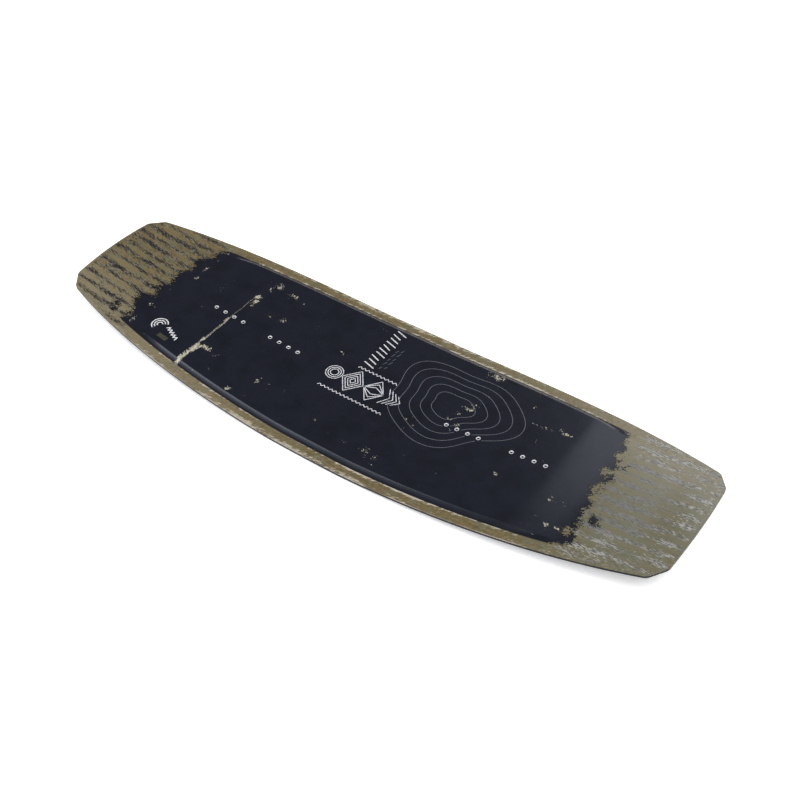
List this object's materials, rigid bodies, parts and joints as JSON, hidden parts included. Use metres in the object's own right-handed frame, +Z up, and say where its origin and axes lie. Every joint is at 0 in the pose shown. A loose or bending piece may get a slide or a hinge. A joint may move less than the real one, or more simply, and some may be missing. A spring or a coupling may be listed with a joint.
{
  "type": "wakeboard",
  "caption": "Twin-tip board with rocker, chamfered tips and a raised bevelled deck platform, laid up in layers over a wood core, with metal binding inserts and small removable fins.",
  "frame": {"origin": "on the plane the board rests on, under its centre", "axes": "+X along the board to the nose, +Y across it to the left rail, +Z up out of the deck"},
  "size_m": [1.477, 0.4394, 0.0758],
  "materials": {
    "topsheet": "printed film, glossy, near-black platform with an olive rim and olive tips",
    "glass": "glass-fibre laminate, satin",
    "core": "bare paulownia",
    "block": "bare birch plywood",
    "sidewall": "satin black",
    "spacer": "matt black",
    "base": "sanded sintered sheet, satin black",
    "insert": "turned stainless",
    "brass": "turned",
    "fin": "moulded black nylon",
    "screw": "stainless"
  },
  "bodies": {
    "root": {"topsheet": "topsheet", "glass_upper": "glass", "glass_lower": "glass", "base_sheet": "base", "core_inner_left": "core", "core_inner_right": "core", "core_middle_left": "core", "core_middle_right": "core", "core_outer_left": "core", "core_outer_right": "core", "core_centre": "core", "insert_block_nose": "block", "core_centre_nose": "core", "insert_block_tail": "block", "core_centre_tail": "core", "sidewall_left": "sidewall", "sidewall_right": "sidewall", "tip_spacer_nose": "spacer", "tip_spacer_tail": "spacer", "binding_insert_nose_1": "insert", "binding_insert_nose_2": "insert", "binding_insert_nose_3": "insert", "binding_insert_nose_4": "insert", "binding_insert_nose_5": "insert", "binding_insert_nose_6": "insert", "binding_insert_nose_7": "insert", "binding_insert_nose_8": "insert", "binding_insert_tail_1": "insert", "binding_insert_tail_2": "insert", "binding_insert_tail_3": "insert", "binding_insert_tail_4": "insert", "binding_insert_tail_5": "insert", "binding_insert_tail_6": "insert", "binding_insert_tail_7": "insert", "binding_insert_tail_8": "insert", "fin_nose_left": "fin", "fin_nose_right": "fin", "fin_tail_left": "fin", "fin_tail_right": "fin", "fin_insert_nose_left_inner": "brass", "fin_screw_nose_left_inner": "screw", "fin_insert_nose_left_outer": "brass", "fin_screw_nose_left_outer": "screw", "fin_insert_nose_right_inner": "brass", "fin_screw_nose_right_inner": "screw", "fin_insert_nose_right_outer": "brass", "fin_screw_nose_right_outer": "screw", "fin_insert_tail_left_inner": "brass", "fin_screw_tail_left_inner": "screw", "fin_insert_tail_left_outer": "brass", "fin_screw_tail_left_outer": "screw", "fin_insert_tail_right_inner": "brass", "fin_screw_tail_right_inner": "screw", "fin_insert_tail_right_outer": "brass", "fin_screw_tail_right_outer": "screw"}
  },
  "joints": []
}
